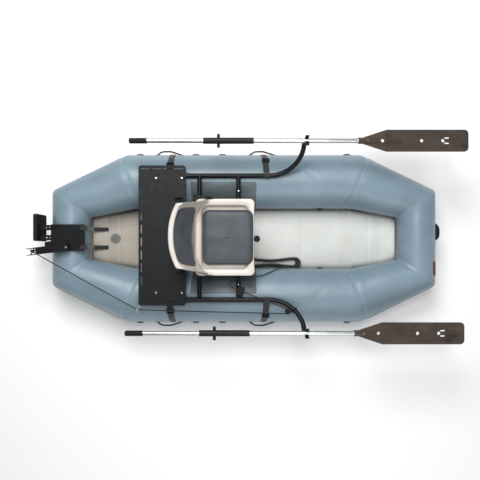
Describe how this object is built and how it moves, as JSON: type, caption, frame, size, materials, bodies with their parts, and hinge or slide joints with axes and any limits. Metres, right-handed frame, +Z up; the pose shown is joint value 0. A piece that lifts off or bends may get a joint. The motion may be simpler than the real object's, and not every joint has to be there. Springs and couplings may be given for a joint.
{
  "type": "inflatable dinghy",
  "caption": "Inflatable rowing dinghy with tubular frame, folding boat seat, cargo deck, oars in turning oarlocks, stern motor board and roped anchor system.",
  "frame": {"origin": "on the centreline amidships, at the height of the floor the boat stands on", "axes": "+X to the bow, +Y to port, +Z up"},
  "size_m": [2.7459, 1.306, 0.797],
  "materials": {
    "hull_coated_fabric": "satin coated fabric, blue grey",
    "black_rubber": "matte black rubber",
    "floor_coated_fabric": "matte off-white coated fabric",
    "baffle_fabric": "plain coated fabric",
    "black_webbing": "woven black webbing",
    "black_moulding": "matte black moulded plastic",
    "grey_moulding": "matte grey moulded plastic",
    "black_painted_aluminium": "black powder coat on aluminium tube and sheet",
    "bare_aluminium": "drawn aluminium tube",
    "oar_blade_plastic": "dark brown glossy moulded plastic",
    "seat_shell_plastic": "warm white moulded plastic",
    "seat_vinyl": "charcoal grained vinyl over foam",
    "stainless_steel": "polished stainless steel",
    "rope_fibre": "black braided cord"
  },
  "bodies": {
    "boat": {"air_valves": "black_moulding", "anchor_arm": "black_painted_aluminium", "anchor_ring": "stainless_steel", "anchor_rope": "rope_fibre", "bow_handle": "black_rubber", "chamber_baffles": "baffle_fabric", "cleat_base": "black_painted_aluminium", "cross_bar_front": "black_painted_aluminium", "cross_bar_mid": "black_painted_aluminium", "deck_bars": "black_painted_aluminium", "deck_tray": "black_painted_aluminium", "drain_valve": "grey_moulding", "fairlead_ring": "stainless_steel", "fasteners": "stainless_steel", "floor_pad": "floor_coated_fabric", "frame_plastics": "black_moulding", "frame_straps": "black_webbing", "grab_handles": "black_rubber", "hull_ends": "hull_coated_fabric", "hull_quarters": "hull_coated_fabric", "hull_sides": "hull_coated_fabric", "motor_board": "black_moulding", "motor_platform": "black_painted_aluminium", "motor_straps": "black_webbing", "oarlock_bushings": "black_moulding", "rope_hank": "rope_fibre", "rub_strakes": "black_rubber", "seat_cushion": "seat_vinyl", "seat_hinge_plates": "black_painted_aluminium", "seat_mount": "black_painted_aluminium", "seat_pan": "seat_shell_plastic", "side_rail_port": "black_painted_aluminium", "side_rail_starboard": "black_painted_aluminium", "strap_buckles": "black_moulding", "tie_down_loops": "black_rubber", "turning_block": "black_painted_aluminium"},
    "seat_back": {"seat_back_cushion": "seat_vinyl", "seat_back_shell": "seat_shell_plastic", "seat_hinge_arms": "black_painted_aluminium"},
    "lock_port": {"oarlock_port": "black_painted_aluminium"},
    "lock_starboard": {"oarlock_starboard": "black_painted_aluminium"},
    "oar_port": {"oar_blade_port": "oar_blade_plastic", "oar_grip_port": "black_rubber", "oar_shaft_port": "bare_aluminium", "oar_sleeve_port": "black_moulding"},
    "oar_starboard": {"oar_blade_starboard": "oar_blade_plastic", "oar_grip_starboard": "black_rubber", "oar_shaft_starboard": "bare_aluminium", "oar_sleeve_starboard": "black_moulding"},
    "stern_sheave": {"anchor_sheave": "black_moulding"},
    "deck_sheave": {"turning_sheave": "black_moulding"},
    "cam_inner": {"cleat_cam_inner": "black_moulding"},
    "cam_outer": {"cleat_cam_outer": "black_moulding"},
    "button_port": {"snap_button_port": "stainless_steel"},
    "button_starboard": {"snap_button_starboard": "stainless_steel"},
    "floor_cap": {"floor_valve_cap": "black_moulding"},
    "tube_cap_port": {"tube_valve_cap_port": "black_moulding"},
    "tube_cap_starboard": {"tube_valve_cap_starboard": "black_moulding"}
  },
  "joints": [
    {"name": "seat_back_fold", "type": "hinge", "parent": "boat", "child": "seat_back", "pos_m": [-0.215, 0, 0.49], "axis": [0, 1, 0], "range_deg": [0, 92]},
    {"name": "oarlock_turn_port", "type": "hinge", "parent": "boat", "child": "lock_port", "pos_m": [0.382, 0.586, 0.5], "axis": [0, 0, 1], "range_deg": [-25, 20]},
    {"name": "oarlock_turn_starboard", "type": "hinge", "parent": "boat", "child": "lock_starboard", "pos_m": [0.382, -0.586, 0.5], "axis": [0, 0, 1], "range_deg": [-20, 25]},
    {"name": "oar_slide_port", "type": "slide", "parent": "lock_port", "child": "oar_port", "axis": [1, 0, 0], "range_m": [-0.25, 0.51]},
    {"name": "oar_slide_starboard", "type": "slide", "parent": "lock_starboard", "child": "oar_starboard", "axis": [1, 0, 0], "range_m": [-0.25, 0.535]},
    {"name": "stern_sheave_spin", "type": "hinge", "parent": "boat", "child": "stern_sheave", "pos_m": [-1.3414, -0.0871, 0.3855], "axis": [-0.4848, -0.8746, 0], "continuous": true},
    {"name": "turning_sheave_spin", "type": "hinge", "parent": "boat", "child": "deck_sheave", "pos_m": [0.276, -0.467, 0.392], "axis": [0, 0, 1], "continuous": true},
    {"name": "cam_inner_open", "type": "hinge", "parent": "boat", "child": "cam_inner", "pos_m": [-0.0104, -0.3229, 0.392], "axis": [0, 0, 1], "range_deg": [-30, 0], "stiffness_Nm_per_rad": 0.05},
    {"name": "cam_outer_open", "type": "hinge", "parent": "boat", "child": "cam_outer", "pos_m": [-0.0216, -0.3571, 0.392], "axis": [0, 0, 1], "range_deg": [0, 30], "stiffness_Nm_per_rad": 0.05},
    {"name": "snap_button_press_port", "type": "slide", "parent": "boat", "child": "button_port", "axis": [0, 0, -1], "range_m": [0, 0.004], "stiffness_N_per_m": 400},
    {"name": "snap_button_press_starboard", "type": "slide", "parent": "boat", "child": "button_starboard", "axis": [0, 0, -1], "range_m": [0, 0.004], "stiffness_N_per_m": 400},
    {"name": "floor_cap_lift", "type": "slide", "parent": "boat", "child": "floor_cap", "axis": [0, 0, 1], "range_m": [0, 0.015]},
    {"name": "tube_cap_lift_port", "type": "slide", "parent": "boat", "child": "tube_cap_port", "axis": [0, -0.766, 0.6428], "range_m": [0, 0.015]},
    {"name": "tube_cap_lift_starboard", "type": "slide", "parent": "boat", "child": "tube_cap_starboard", "axis": [0, 0.766, 0.6428], "range_m": [0, 0.015]}
  ]
}
